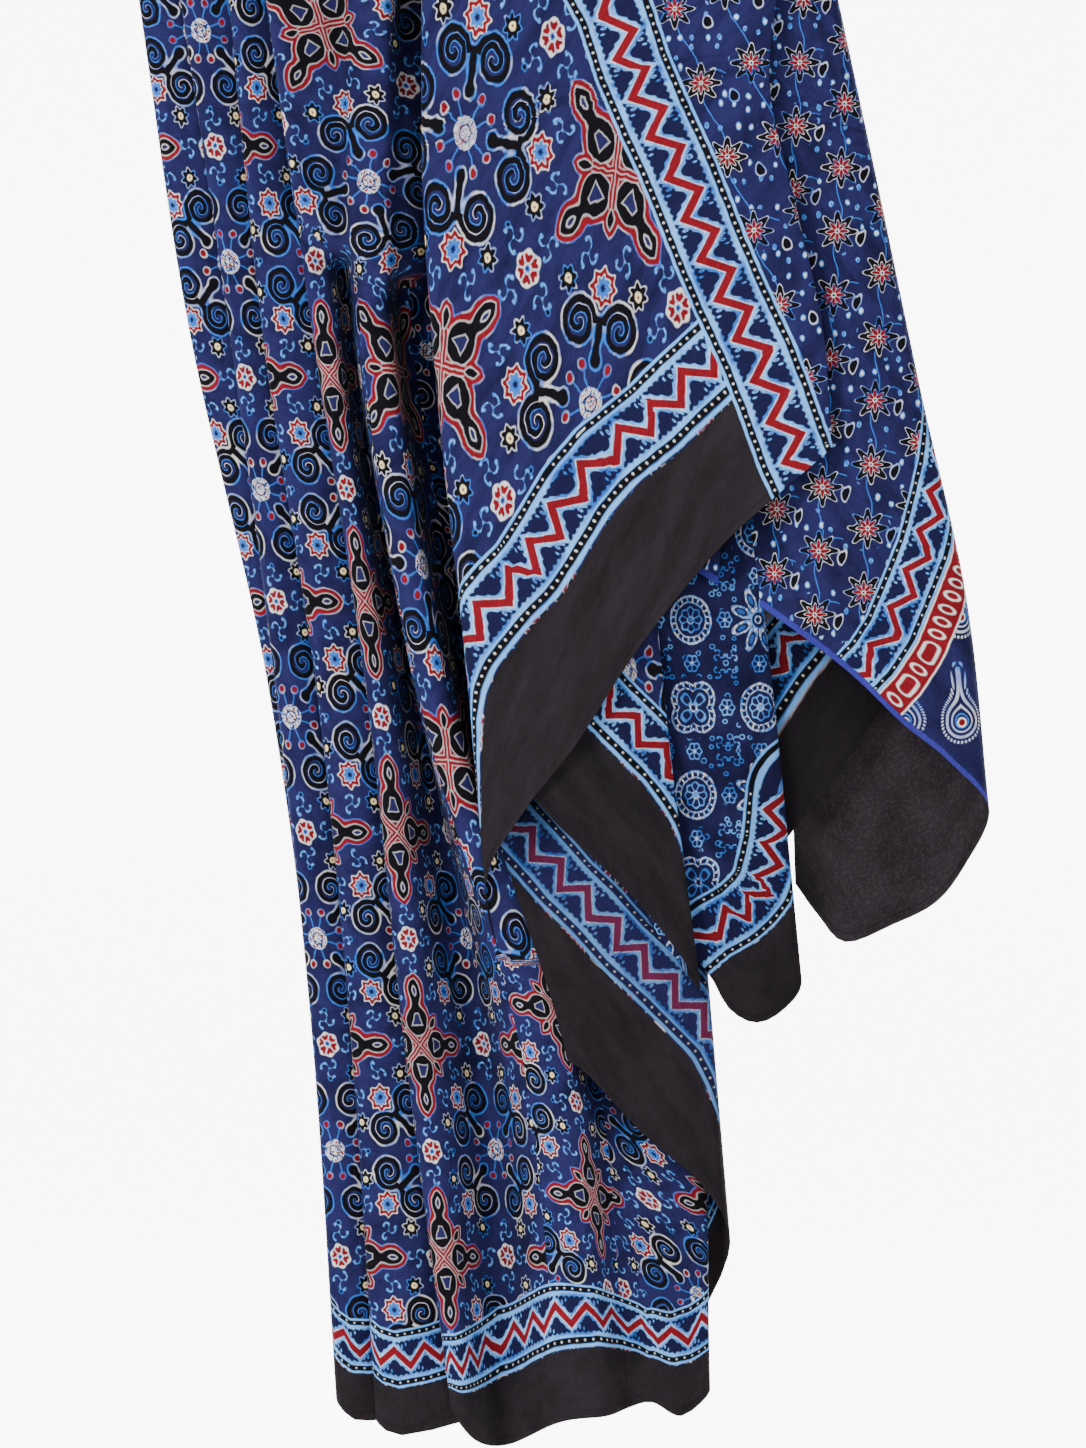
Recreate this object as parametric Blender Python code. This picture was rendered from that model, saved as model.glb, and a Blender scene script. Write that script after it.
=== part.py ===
# Dabu print fabric: one long printed cloth hanging in folds from its top edge
# +Z up, the seen side faces -Y, origin at the middle of the top edge
import math

import bpy

MM = 0.001
THICKNESS = 1.6 * MM
ROWS_DOWN = 20
FOLD_ROUND = 2.0
FOLD_CROWD = 2.3

# Fold lines that run down the cloth, in the order in which the cloth passes through them.
# kind: flat, or the side to which the cloth turns round. parts: columns to the next line.
# x0 to x4: place across, at the top edge and each quarter of the line's drop, in mm.
# y0, y1, y2: depth at the top, half way and the hem, in mm. drop: length to the hem, in mm.
COLUMNS = ("name", "kind", "parts", "x0", "x1", "x2", "x3", "x4", "y0", "y1", "y2", "drop")
FOLD_LINES = (
    # The inner end: a front layer, the medallion layer behind it and the layer seen past that.
    ("f_start", "flat", 1, -58, -52, -44, -34, -25, -63, -63, -61, 642),
    ("f_one", "flat", 1, -30, -22, -12, 0, 14, -63, -63, -60, 686),
    ("f_two", "flat", 2, 2, 10, 23, 39, 58, -62, -62, -59, 727),
    ("f_three", "flat", 2, 30, 42, 58, 76, 94, -62, -62, -60, 767),
    ("f_edge", "right", 2, 46, 66, 82, 100, 126, -58, -58, -56, 814),
    ("f_return", "flat", 2, 38, 55, 71, 87, 110, -55, -55, -53, 796),
    ("e_tuck", "left", 2, 28, 44, 62, 74, 84, -51, -51, -49, 760),
    ("e_one", "flat", 1, 50, 71, 87, 103, 128, -47, -49, -47, 797),
    ("e_two", "flat", 1, 71, 90, 106, 126, 148, -46, -49, -48, 830),
    ("e_three", "flat", 1, 95, 114, 130, 150, 171, -44, -49, -49, 842),
    ("e_four", "flat", 2, 122, 135, 150, 171, 194, -44, -47, -46, 830),
    ("e_edge", "right", 2, 142, 154, 166, 187, 207, -41, -42, -40, 808),
    ("e_return", "flat", 2, 135, 146, 158, 171, 182, -38, -38, -36, 768),
    ("d_tuck", "left", 2, 126, 135, 143, 151, 156, -35, -35, -33, 728),
    ("d_one", "flat", 1, 143, 156, 167, 178, 183, -31, -32, -31, 709),
    ("d_two", "flat", 1, 162, 175, 188, 199, 208, -31, -33, -33, 678),
    ("d_three", "flat", 2, 186, 203, 218, 234, 248, -32, -34, -34, 626),
    ("d_edge", "right", 2, 206, 230, 250, 270, 290, -28, -28, -28, 556),
    # The plain way round the back to the left side.
    ("k_one", "flat", 1, 194, 210, 226, 240, 252, -25, -25, -25, 588),
    ("k_two", "flat", 1, 166, 178, 188, 194, 198, -24, -24, -24, 636),
    ("k_three", "flat", 1, 138, 146, 154, 159, 164, -6, -6, -6, 700),
    ("k_four", "flat", 1, 110, 118, 124, 126, 122, 14, 14, 14, 772),
    ("k_five", "flat", 1, 46, 54, 62, 66, 71, 24, 22, 22, 965),
    ("k_six", "flat", 1, -10, -2, 6, 14, 20, 17, 18, 18, 1034),
    ("k_seven", "flat", 1, -74, -65, -52, -41, -30, 28, 26, 24, 1078),
    ("k_eight", "flat", 1, -138, -126, -106, -92, -78, 24, 24, 20, 1106),
    ("k_nine", "flat", 2, -218, -198, -162, -130, -110, 36, 34, 28, 1123),
    # The pleats on the left, the deep valley, the wide skirt and its tuck on the right.
    ("s_edge", "left", 2, -324, -281, -218, -180, -158, 29, 29, 24, 1134),
    ("s_face", "flat", 2, -306, -262, -202, -166, -148, 21, 21, 17, 1138),
    ("s_tuck", "right", 3, -282, -238, -190, -154, -129, 16, 16, 13, 1141),
    ("p_one_edge", "left", 2, -294, -252, -215, -185, -166, 9, 9, 7, 1144),
    ("p_one_face", "flat", 2, -274, -238, -198, -166, -151, 3, 3, 0, 1161),
    ("p_one_tuck", "right", 3, -244, -210, -170, -138, -124, 0, 0, -3, 1160),
    ("p_two_edge", "left", 2, -254, -225, -181, -153, -134, -7, -7, -7, 1160),
    ("p_two_face", "flat", 2, -239, -206, -162, -132, -113, -13, -13, -12, 1173),
    ("p_two_tuck", "right", 3, -209, -170, -127, -98, -58, -16, -16, -14, 1158),
    ("p_three_edge", "left", 3, -225, -185, -142, -111, -74, -23, -23, -19, 1149),
    ("p_three_face", "flat", 2, -194, -168, -124, -89, -57, -29, -27, -24, 1174),
    ("valley", "flat", 3, -164, -154, -99, -49, -30, -24, -8, -10, 1182),
    ("roll_edge", "flat", 2, -151, -146, -99, -17, 14, -30, -34, -24, 1162),
    ("roll_face", "flat", 2, -126, -124, -76, 14, 50, -34, -38, -27, 1157),
    ("gap", "flat", 1, -106, -105, -52, 39, 68, -6, -12, -20, 1151),
    ("skirt_one", "flat", 2, -58, -50, -2, 68, 87, -12, -14, -22, 1146),
    ("skirt_two", "flat", 2, -2, 14, 46, 94, 111, -14, -16, -24, 1157),
    ("skirt_edge", "right", 2, 38, 58, 86, 126, 134, -11, -12, -18, 1136),
    ("skirt_return", "flat", 2, 26, 46, 74, 106, 118, -8, -8, -12, 1128),
    ("skirt_tuck", "left", 2, 14, 38, 62, 90, 98, -3, -3, -6, 1116),
    ("under", "flat", 2, 38, 58, 82, 118, 130, 3, 3, 1, 1072),
    # The curl on the right, the layer seen from its reverse and the panel in front.
    ("curl", "right", 3, 58, 86, 110, 129, 150, -18, -18, -19, 1018),
    ("g_one", "flat", 1, 46, 68, 90, 110, 128, -39, -39, -39, 973),
    ("g_two", "flat", 2, 26, 38, 50, 66, 78, -39, -39, -41, 929),
    ("g_three", "flat", 2, -6, 2, 10, 22, 36, -39, -39, -39, 884),
    ("g_four", "flat", 2, -54, -46, -34, -22, -10, -40, -40, -40, 843),
    ("b_edge", "left", 3, -97, -96, -82, -62, -46, -57, -57, -54, 738),
    ("b_one", "flat", 1, -70, -62, -49, -33, -16, -72, -72, -66, 674),
    ("b_two", "flat", 2, -26, -18, -6, 8, 26, -76, -76, -72, 620),
    ("b_three", "flat", 2, 26, 34, 46, 62, 78, -75, -75, -74, 540),
    ("b_four", "flat", 2, 78, 90, 103, 119, 138, -76, -76, -75, 466),
    ("b_five", "flat", 2, 130, 138, 154, 171, 185, -77, -78, -78, 422),
    ("b_fold", "right", 2, 186, 178, 199, 220, 228, -74, -74, -73, 381),
    # The end cloth on the right and the flap that hangs behind it.
    ("b_return", "flat", 2, 158, 156, 170, 182, 186, -70, -70, -70, 400),
    ("c_tuck", "left", 2, 86, 90, 95, 100, 106, -66, -66, -65, 464),
    ("c_one", "flat", 1, 103, 110, 118, 124, 130, -58, -58, -55, 486),
    ("c_two", "flat", 1, 126, 135, 146, 158, 168, -57, -55, -51, 506),
    ("c_three", "flat", 1, 147, 166, 183, 199, 211, -60, -61, -60, 536),
    ("c_four", "flat", 1, 171, 194, 215, 234, 250, -61, -63, -62, 567),
    ("c_five", "flat", 2, 195, 220, 244, 266, 286, -61, -63, -62, 602),
    ("c_six", "flat", 2, 215, 247, 276, 303, 324, -58, -60, -58, 633),
    ("c_edge", "right", 3, 231, 267, 302, 339, 357, -40, -40, -40, 674),
    ("h_one", "flat", 1, 218, 254, 290, 322, 338, -20, -20, -20, 716),
    ("h_two", "flat", 1, 210, 242, 271, 298, 315, -18, -17, -16, 746),
    ("h_three", "flat", 1, 202, 228, 250, 268, 280, -18, -17, -16, 764),
    ("h_four", "flat", 1, 194, 212, 226, 236, 242, -18, -17, -16, 778),
    ("h_five", "flat", 1, 186, 198, 208, 214, 220, -18, -17, -16, 756),
    ("h_end", "flat", 0, 178, 183, 190, 196, 202, -18, -18, -18, 731),
)

# The cowl that sags over the pleats: its lower edge across the cloth, in mm.
COWL_COLUMNS = ("x", "drop")
COWL_EDGE = (
    (-232, 60),
    (-224, 130),
    (-214, 168),
    (-202, 192),
    (-186, 208),
    (-166, 228),
    (-146, 246),
    (-126, 254),
    (-104, 250),
)
COWL_DEPTH = 24.0
COWL_ROLL = 26.0
COWL_LINES = ("p_three_edge", "p_three_face", "valley", "roll_edge", "roll_face", "gap")
COWL_FLATTEN = 0.6


def as_dicts(columns, rows):
    return [dict(zip(columns, row)) for row in rows]


def mix(a, b, t):
    return a + (b - a) * t


def smooth(t):
    t = min(max(t, 0.0), 1.0)
    return t * t * (3.0 - 2.0 * t)


def through(values, t):
    """A smooth curve through evenly spaced values, at t from 0 to 1."""
    spans = len(values) - 1
    place = min(max(t, 0.0), 1.0) * spans
    i = min(int(place), spans - 1)
    f = place - i
    a = values[i]
    b = values[i + 1]
    before = values[i - 1] if i > 0 else 2 * a - b
    after = values[i + 2] if i + 2 <= spans else 2 * b - a
    slope_a = 0.5 * (b - before)
    slope_b = 0.5 * (after - a)
    return hermite(a, b, slope_a, slope_b, f)


def hermite(a, b, slope_a, slope_b, f):
    f2 = f * f
    f3 = f2 * f
    return (a * (2 * f3 - 3 * f2 + 1) + slope_a * (f3 - 2 * f2 + f)
            + b * (3 * f2 - 2 * f3) + slope_b * (f3 - f2))


def cowl_edge_drop(x):
    """The cowl's lower edge at x, in mm below the top."""
    rows = as_dicts(COWL_COLUMNS, COWL_EDGE)
    if x <= rows[0]["x"]:
        return rows[0]["drop"]
    for a, b in zip(rows, rows[1:]):
        if x <= b["x"]:
            return mix(a["drop"], b["drop"], (x - a["x"]) / (b["x"] - a["x"]))
    return rows[-1]["drop"]


def cowl_share(x, down):
    """How far a place belongs to the cowl, from 0 outside to 1 well inside."""
    inside = cowl_edge_drop(x) - down
    rise = smooth(inside / COWL_ROLL)
    fade = 0.45 + 0.55 * smooth(down / 150.0)
    return rise * fade


def line_point(line, t):
    """The place of a fold line at the share t of its drop: across, depth and height in mm."""
    across = through([line["x0"], line["x1"], line["x2"], line["x3"], line["x4"]], t)
    depth = through([line["y0"], line["y1"], line["y2"]], t)
    down = line["drop"] * t
    if line["name"] in COWL_LINES:
        share = cowl_share(across, down)
        depth = depth * (1.0 - COWL_FLATTEN * share) - COWL_DEPTH * share
    return (across, depth, -down)


def slopes(points, kinds):
    """The run of the cloth at each fold line: straight back or forth where it turns round."""
    out = []
    last = len(points) - 1
    for i, point in enumerate(points):
        before = points[max(i - 1, 0)]
        after = points[min(i + 1, last)]
        half = 0.5 if 0 < i < last else 1.0
        run = [half * (after[k] - before[k]) for k in range(3)]
        if kinds[i] != "flat":
            run = [0.0, FOLD_ROUND * (after[1] - before[1]), run[2]]
        out.append(run)
    return out


def crowded(s, from_fold, to_fold):
    """A share of the way between two fold lines, crowded toward an end that turns round."""
    if from_fold and to_fold:
        return mix(s, smooth(s), 0.8)
    if from_fold:
        return s ** FOLD_CROWD
    if to_fold:
        return 1.0 - (1.0 - s) ** FOLD_CROWD
    return s


def cloth_row(t):
    """One row of points across the whole cloth at the share t of the drop."""
    lines = as_dicts(COLUMNS, FOLD_LINES)
    points = [line_point(line, t) for line in lines]
    kinds = [line["kind"] for line in lines]
    runs = slopes(points, kinds)
    row = []
    for i in range(len(lines) - 1):
        parts = lines[i]["parts"]
        for part in range(parts):
            f = crowded(part / parts, kinds[i] != "flat", kinds[i + 1] != "flat")
            row.append([hermite(points[i][k], points[i + 1][k], runs[i][k], runs[i + 1][k], f)
                        for k in range(3)])
    row.append(list(points[-1]))
    return row


def row_shares():
    """Shares of the drop for each row, closer together near the cowl and the hem."""
    shares = []
    for i in range(ROWS_DOWN + 1):
        t = i / ROWS_DOWN
        shares.append(t - 0.035 * math.sin(2.0 * math.pi * t))
    return shares


def subtract(a, b):
    return [a[0] - b[0], a[1] - b[1], a[2] - b[2]]


def cross(a, b):
    return [a[1] * b[2] - a[2] * b[1], a[2] * b[0] - a[0] * b[2], a[0] * b[1] - a[1] * b[0]]


def unit(a):
    size = math.sqrt(a[0] ** 2 + a[1] ** 2 + a[2] ** 2) or 1.0
    return [a[0] / size, a[1] / size, a[2] / size]


def normals(grid):
    """The face direction at each point, out of the printed side."""
    rows = len(grid)
    count = len(grid[0])
    out = []
    for j in range(rows):
        up = grid[max(j - 1, 0)]
        low = grid[min(j + 1, rows - 1)]
        line = []
        for i in range(count):
            along = subtract(grid[j][min(i + 1, count - 1)], grid[j][max(i - 1, 0)])
            down = subtract(low[i], up[i])
            line.append(unit(cross(down, along)))
        out.append(line)
    return out


def thick_sheet(name, grid, thickness):
    """A closed sheet of even thickness on a grid of points in mm."""
    facing = normals(grid)
    rows = len(grid)
    count = len(grid[0])
    half = 0.5 * thickness
    points = []
    for side in (1.0, -1.0):
        for j in range(rows):
            for i in range(count):
                points.append(tuple(grid[j][i][k] * MM + side * half * facing[j][i][k] for k in range(3)))
    back = rows * count
    faces = []
    for j in range(rows - 1):
        for i in range(count - 1):
            a = j * count + i
            b = a + 1
            c = b + count
            d = a + count
            faces.append((a, d, b))
            faces.append((b, d, c))
            faces.append((back + a, back + b, back + d))
            faces.append((back + b, back + c, back + d))
    rim = [i for i in range(count)]
    rim += [j * count + count - 1 for j in range(1, rows)]
    rim += [(rows - 1) * count + i for i in range(count - 2, -1, -1)]
    rim += [j * count for j in range(rows - 2, 0, -1)]
    for a, b in zip(rim, rim[1:] + rim[:1]):
        faces.append((a, b, back + a))
        faces.append((b, back + b, back + a))
    mesh = bpy.data.meshes.new(name)
    mesh.from_pydata(points, [], faces)
    mesh.update()
    obj = bpy.data.objects.new(name, mesh)
    bpy.context.scene.collection.objects.link(obj)
    return obj


def fabric(name, colour, roughness):
    material = bpy.data.materials.new(name)
    material.use_nodes = True
    shader = material.node_tree.nodes["Principled BSDF"]
    shader.inputs["Base Color"].default_value = colour
    shader.inputs["Roughness"].default_value = roughness
    return material


for old in list(bpy.data.objects):
    bpy.data.objects.remove(old)

cloth = thick_sheet("cloth", [cloth_row(t) for t in row_shares()], THICKNESS)
cloth.data.materials.append(fabric("cloth", (0.03, 0.05, 0.16, 1.0), 0.8))
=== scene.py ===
# Dabu print fabric, dressed: the folded cloth with its resist print, borders and hem bands
# Metres, +Z up, seen from -Y, origin at the middle of the top edge
import math
from functools import partial

import bmesh
import bpy
import numpy as np
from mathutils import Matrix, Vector


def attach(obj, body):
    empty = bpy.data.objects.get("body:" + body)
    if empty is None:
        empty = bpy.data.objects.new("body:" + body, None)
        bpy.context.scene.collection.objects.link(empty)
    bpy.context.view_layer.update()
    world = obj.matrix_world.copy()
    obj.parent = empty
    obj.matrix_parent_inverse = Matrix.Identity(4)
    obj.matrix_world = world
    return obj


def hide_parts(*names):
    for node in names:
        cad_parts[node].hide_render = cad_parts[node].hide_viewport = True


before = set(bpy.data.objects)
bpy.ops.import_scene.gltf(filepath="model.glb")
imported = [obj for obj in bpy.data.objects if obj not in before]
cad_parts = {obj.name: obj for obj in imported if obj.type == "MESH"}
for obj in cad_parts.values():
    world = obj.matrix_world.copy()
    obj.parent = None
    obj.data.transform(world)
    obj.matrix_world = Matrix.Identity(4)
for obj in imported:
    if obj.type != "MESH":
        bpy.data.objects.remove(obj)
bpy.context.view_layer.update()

MM = 0.001

# The fold lines of the cloth in mm, as in the part's source: places across from top to hem, depths and drop
COLUMNS = ("name", "kind", "parts", "x0", "x1", "x2", "x3", "x4", "y0", "y1", "y2", "drop")
FOLD_LINES = (
    # The inner end: a front layer, the medallion layer behind it and the layer seen past that.
    ("f_start", "flat", 1, -58, -52, -44, -34, -25, -63, -63, -61, 642),
    ("f_one", "flat", 1, -30, -22, -12, 0, 14, -63, -63, -60, 686),
    ("f_two", "flat", 2, 2, 10, 23, 39, 58, -62, -62, -59, 727),
    ("f_three", "flat", 2, 30, 42, 58, 76, 94, -62, -62, -60, 767),
    ("f_edge", "right", 2, 46, 66, 82, 100, 126, -58, -58, -56, 814),
    ("f_return", "flat", 2, 38, 55, 71, 87, 110, -55, -55, -53, 796),
    ("e_tuck", "left", 2, 28, 44, 62, 74, 84, -51, -51, -49, 760),
    ("e_one", "flat", 1, 50, 71, 87, 103, 128, -47, -49, -47, 797),
    ("e_two", "flat", 1, 71, 90, 106, 126, 148, -46, -49, -48, 830),
    ("e_three", "flat", 1, 95, 114, 130, 150, 171, -44, -49, -49, 842),
    ("e_four", "flat", 2, 122, 135, 150, 171, 194, -44, -47, -46, 830),
    ("e_edge", "right", 2, 142, 154, 166, 187, 207, -41, -42, -40, 808),
    ("e_return", "flat", 2, 135, 146, 158, 171, 182, -38, -38, -36, 768),
    ("d_tuck", "left", 2, 126, 135, 143, 151, 156, -35, -35, -33, 728),
    ("d_one", "flat", 1, 143, 156, 167, 178, 183, -31, -32, -31, 709),
    ("d_two", "flat", 1, 162, 175, 188, 199, 208, -31, -33, -33, 678),
    ("d_three", "flat", 2, 186, 203, 218, 234, 248, -32, -34, -34, 626),
    ("d_edge", "right", 2, 206, 230, 250, 270, 290, -28, -28, -28, 556),
    # The plain way round the back to the left side.
    ("k_one", "flat", 1, 194, 210, 226, 240, 252, -25, -25, -25, 588),
    ("k_two", "flat", 1, 166, 178, 188, 194, 198, -24, -24, -24, 636),
    ("k_three", "flat", 1, 138, 146, 154, 159, 164, -6, -6, -6, 700),
    ("k_four", "flat", 1, 110, 118, 124, 126, 122, 14, 14, 14, 772),
    ("k_five", "flat", 1, 46, 54, 62, 66, 71, 24, 22, 22, 965),
    ("k_six", "flat", 1, -10, -2, 6, 14, 20, 17, 18, 18, 1034),
    ("k_seven", "flat", 1, -74, -65, -52, -41, -30, 28, 26, 24, 1078),
    ("k_eight", "flat", 1, -138, -126, -106, -92, -78, 24, 24, 20, 1106),
    ("k_nine", "flat", 2, -218, -198, -162, -130, -110, 36, 34, 28, 1123),
    # The pleats on the left, the deep valley, the wide skirt and its tuck on the right.
    ("s_edge", "left", 2, -324, -281, -218, -180, -158, 29, 29, 24, 1134),
    ("s_face", "flat", 2, -306, -262, -202, -166, -148, 21, 21, 17, 1138),
    ("s_tuck", "right", 3, -282, -238, -190, -154, -129, 16, 16, 13, 1141),
    ("p_one_edge", "left", 2, -294, -252, -215, -185, -166, 9, 9, 7, 1144),
    ("p_one_face", "flat", 2, -274, -238, -198, -166, -151, 3, 3, 0, 1161),
    ("p_one_tuck", "right", 3, -244, -210, -170, -138, -124, 0, 0, -3, 1160),
    ("p_two_edge", "left", 2, -254, -225, -181, -153, -134, -7, -7, -7, 1160),
    ("p_two_face", "flat", 2, -239, -206, -162, -132, -113, -13, -13, -12, 1173),
    ("p_two_tuck", "right", 3, -209, -170, -127, -98, -58, -16, -16, -14, 1158),
    ("p_three_edge", "left", 3, -225, -185, -142, -111, -74, -23, -23, -19, 1149),
    ("p_three_face", "flat", 2, -194, -168, -124, -89, -57, -29, -27, -24, 1174),
    ("valley", "flat", 3, -164, -154, -99, -49, -30, -24, -8, -10, 1182),
    ("roll_edge", "flat", 2, -151, -146, -99, -17, 14, -30, -34, -24, 1162),
    ("roll_face", "flat", 2, -126, -124, -76, 14, 50, -34, -38, -27, 1157),
    ("gap", "flat", 1, -106, -105, -52, 39, 68, -6, -12, -20, 1151),
    ("skirt_one", "flat", 2, -58, -50, -2, 68, 87, -12, -14, -22, 1146),
    ("skirt_two", "flat", 2, -2, 14, 46, 94, 111, -14, -16, -24, 1157),
    ("skirt_edge", "right", 2, 38, 58, 86, 126, 134, -11, -12, -18, 1136),
    ("skirt_return", "flat", 2, 26, 46, 74, 106, 118, -8, -8, -12, 1128),
    ("skirt_tuck", "left", 2, 14, 38, 62, 90, 98, -3, -3, -6, 1116),
    ("under", "flat", 2, 38, 58, 82, 118, 130, 3, 3, 1, 1072),
    # The curl on the right, the layer seen from its reverse and the panel in front.
    ("curl", "right", 3, 58, 86, 110, 129, 150, -18, -18, -19, 1018),
    ("g_one", "flat", 1, 46, 68, 90, 110, 128, -39, -39, -39, 973),
    ("g_two", "flat", 2, 26, 38, 50, 66, 78, -39, -39, -41, 929),
    ("g_three", "flat", 2, -6, 2, 10, 22, 36, -39, -39, -39, 884),
    ("g_four", "flat", 2, -54, -46, -34, -22, -10, -40, -40, -40, 843),
    ("b_edge", "left", 3, -97, -96, -82, -62, -46, -57, -57, -54, 738),
    ("b_one", "flat", 1, -70, -62, -49, -33, -16, -72, -72, -66, 674),
    ("b_two", "flat", 2, -26, -18, -6, 8, 26, -76, -76, -72, 620),
    ("b_three", "flat", 2, 26, 34, 46, 62, 78, -75, -75, -74, 540),
    ("b_four", "flat", 2, 78, 90, 103, 119, 138, -76, -76, -75, 466),
    ("b_five", "flat", 2, 130, 138, 154, 171, 185, -77, -78, -78, 422),
    ("b_fold", "right", 2, 186, 178, 199, 220, 228, -74, -74, -73, 381),
    # The end cloth on the right and the flap that hangs behind it.
    ("b_return", "flat", 2, 158, 156, 170, 182, 186, -70, -70, -70, 400),
    ("c_tuck", "left", 2, 86, 90, 95, 100, 106, -66, -66, -65, 464),
    ("c_one", "flat", 1, 103, 110, 118, 124, 130, -58, -58, -55, 486),
    ("c_two", "flat", 1, 126, 135, 146, 158, 168, -57, -55, -51, 506),
    ("c_three", "flat", 1, 147, 166, 183, 199, 211, -60, -61, -60, 536),
    ("c_four", "flat", 1, 171, 194, 215, 234, 250, -61, -63, -62, 567),
    ("c_five", "flat", 2, 195, 220, 244, 266, 286, -61, -63, -62, 602),
    ("c_six", "flat", 2, 215, 247, 276, 303, 324, -58, -60, -58, 633),
    ("c_edge", "right", 3, 231, 267, 302, 339, 357, -40, -40, -40, 674),
    ("h_one", "flat", 1, 218, 254, 290, 322, 338, -20, -20, -20, 716),
    ("h_two", "flat", 1, 210, 242, 271, 298, 315, -18, -17, -16, 746),
    ("h_three", "flat", 1, 202, 228, 250, 268, 280, -18, -17, -16, 764),
    ("h_four", "flat", 1, 194, 212, 226, 236, 242, -18, -17, -16, 778),
    ("h_five", "flat", 1, 186, 198, 208, 214, 220, -18, -17, -16, 756),
    ("h_end", "flat", 0, 178, 183, 190, 196, 202, -18, -18, -18, 731),
)

# Lower edge of the hanging cowl, by place across and drop, and how far the cowl stands out, in mm
COWL_EDGE = ((-232, 60), (-224, 130), (-214, 168), (-202, 192), (-186, 208), (-166, 228), (-146, 246),
             (-126, 254), (-104, 250))
COWL_DEPTH = 36.0
COWL_ROLL = 13.0
COWL_UNDER = 16.0
COWL_UNDER_REACH = 50.0
COWL_LINES = ("p_three_edge", "p_three_face", "valley", "roll_edge", "roll_face", "gap")
COWL_FLATTEN = 0.6

# How far single folds stand out to the side of the plain solid, in mm
SET_ASIDE = {"s_edge": -4.0, "b_fold": 3.0}

# How much deeper, or further forward, single folds hang than in the plain solid: top, middle, hem, in mm
SET_BACK = {
    "s_face": (-2, -2, -2),
    "s_tuck": (3, 3, 3),
    "p_one_face": (-3, -4, -4),
    "p_one_tuck": (6, 7, 6),
    "p_two_face": (-3, -4, -5),
    "p_two_tuck": (7, 8, 7),
    "p_three_face": (-2, -4, -6),
    "valley": (10, 24, 20),
    "roll_edge": (-3, -7, -6),
    "roll_face": (-4, -8, -10),
    "gap": (8, 14, 4),
    "skirt_one": (0, 5, -6),
    "skirt_two": (0, -3, -3),
    "c_two": (7, 9, 6),
    "c_one": (2, 3, 2),
    "c_three": (-3, -4, -2),
}

# How round a fold is, and how closely the columns crowd towards folds and the rows towards the ends
FOLD_ROUND = 2.0
FOLD_CROWD = 2.3
ROWS_DOWN = 240
ROWS_CROWD = 0.035

# Runs of the cloth: the fold line where each starts, how many times finer it is here, its print,
# and the painted shade that darkens its colour where it hangs in the shade of the layers before it
RUN_COLUMNS = ("name", "first", "finer", "print", "shade")
RUNS = (
    ("inner", "f_start", 2.4, "body", 0.72),
    ("medallion", "f_return", 2.6, "medallion", 0.66),
    ("inner_band", "e_return", 2.0, "body", 0.5),
    ("back", "d_edge", 2.0, "body", 1.0),
    ("strip", "s_edge", 2.6, "body", 1.0),
    ("pleat_one", "p_one_edge", 2.6, "body", 1.0),
    ("pleat_two", "p_two_edge", 2.6, "body", 1.0),
    ("pleat_three", "p_three_edge", 3.0, "body", 1.0),
    ("roll", "roll_edge", 4.0, "body", 1.0),
    ("skirt", "gap", 3.6, "body", 0.84),
    ("hidden", "skirt_edge", 2.0, "body", 1.0),
    ("reverse", "curl", 4.0, "reverse", 0.78),
    ("panel", "b_edge", 5.0, "panel", 1.0),
    ("hidden_two", "b_fold", 2.0, "band", 1.0),
    ("end", "c_tuck", 5.0, "end", 0.92),
    ("flap", "c_edge", 4.0, "sheer", 1.0),
)


def rows_of(columns, rows):
    return [dict(zip(columns, row)) for row in rows]


LINES = rows_of(COLUMNS, FOLD_LINES)
KINDS = [line["kind"] for line in LINES]
INDEX = {line["name"]: i for i, line in enumerate(LINES)}
RUN = {row["name"]: row for row in rows_of(RUN_COLUMNS, RUNS)}


def smooth(t):
    t = np.clip(t, 0.0, 1.0)
    return t * t * (3.0 - 2.0 * t)


def mix(a, b, t):
    return a + (b - a) * t


def hermite(a, b, slope_a, slope_b, f):
    f2 = f * f
    f3 = f2 * f
    return (a * (2 * f3 - 3 * f2 + 1) + slope_a * (f3 - 2 * f2 + f)
            + b * (3 * f2 - 2 * f3) + slope_b * (f3 - f2))


def through(values, t):
    """A smooth curve through evenly spaced values, at shares t of its length."""
    spans = len(values) - 1
    padded = [2 * values[0] - values[1]] + list(values) + [2 * values[-1] - values[-2]]
    padded = np.array(padded, float)
    place = np.clip(t, 0.0, 1.0) * spans
    i = np.minimum(place.astype(int), spans - 1)
    f = place - i
    a = padded[i + 1]
    b = padded[i + 2]
    return hermite(a, b, 0.5 * (b - padded[i]), 0.5 * (padded[i + 3] - a), f)


def cowl_edge_drop(x):
    return np.interp(x, *zip(*COWL_EDGE))


def cowl_share(x, down):
    """How fully the cloth takes up the cowl's depth."""
    above_edge = cowl_edge_drop(x) - down
    return smooth(above_edge / COWL_ROLL) * (0.45 + 0.55 * smooth(down / 150.0))


def cowl_under(x, down):
    """The cloth drawn in beneath the hanging cowl."""
    below = down - cowl_edge_drop(x)
    return smooth((below + 4.0) / 12.0) * (1.0 - smooth(below / COWL_UNDER_REACH)) * smooth(down / 120.0)


def line_points(line, t):
    across = through([line["x%d" % k] for k in range(5)], t)
    depth = through([line["y%d" % k] for k in range(3)], t)
    across = across + SET_ASIDE.get(line["name"], 0.0)
    if line["name"] in SET_BACK:
        depth = depth + through(SET_BACK[line["name"]], t)
    down = line["drop"] * t
    if line["name"] in COWL_LINES:
        share = cowl_share(across, down)
        depth = depth * (1.0 - COWL_FLATTEN * share) - COWL_DEPTH * share
        depth = depth + COWL_UNDER * cowl_under(across, down)
    return np.stack([across, depth, -down], axis=-1)


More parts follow.
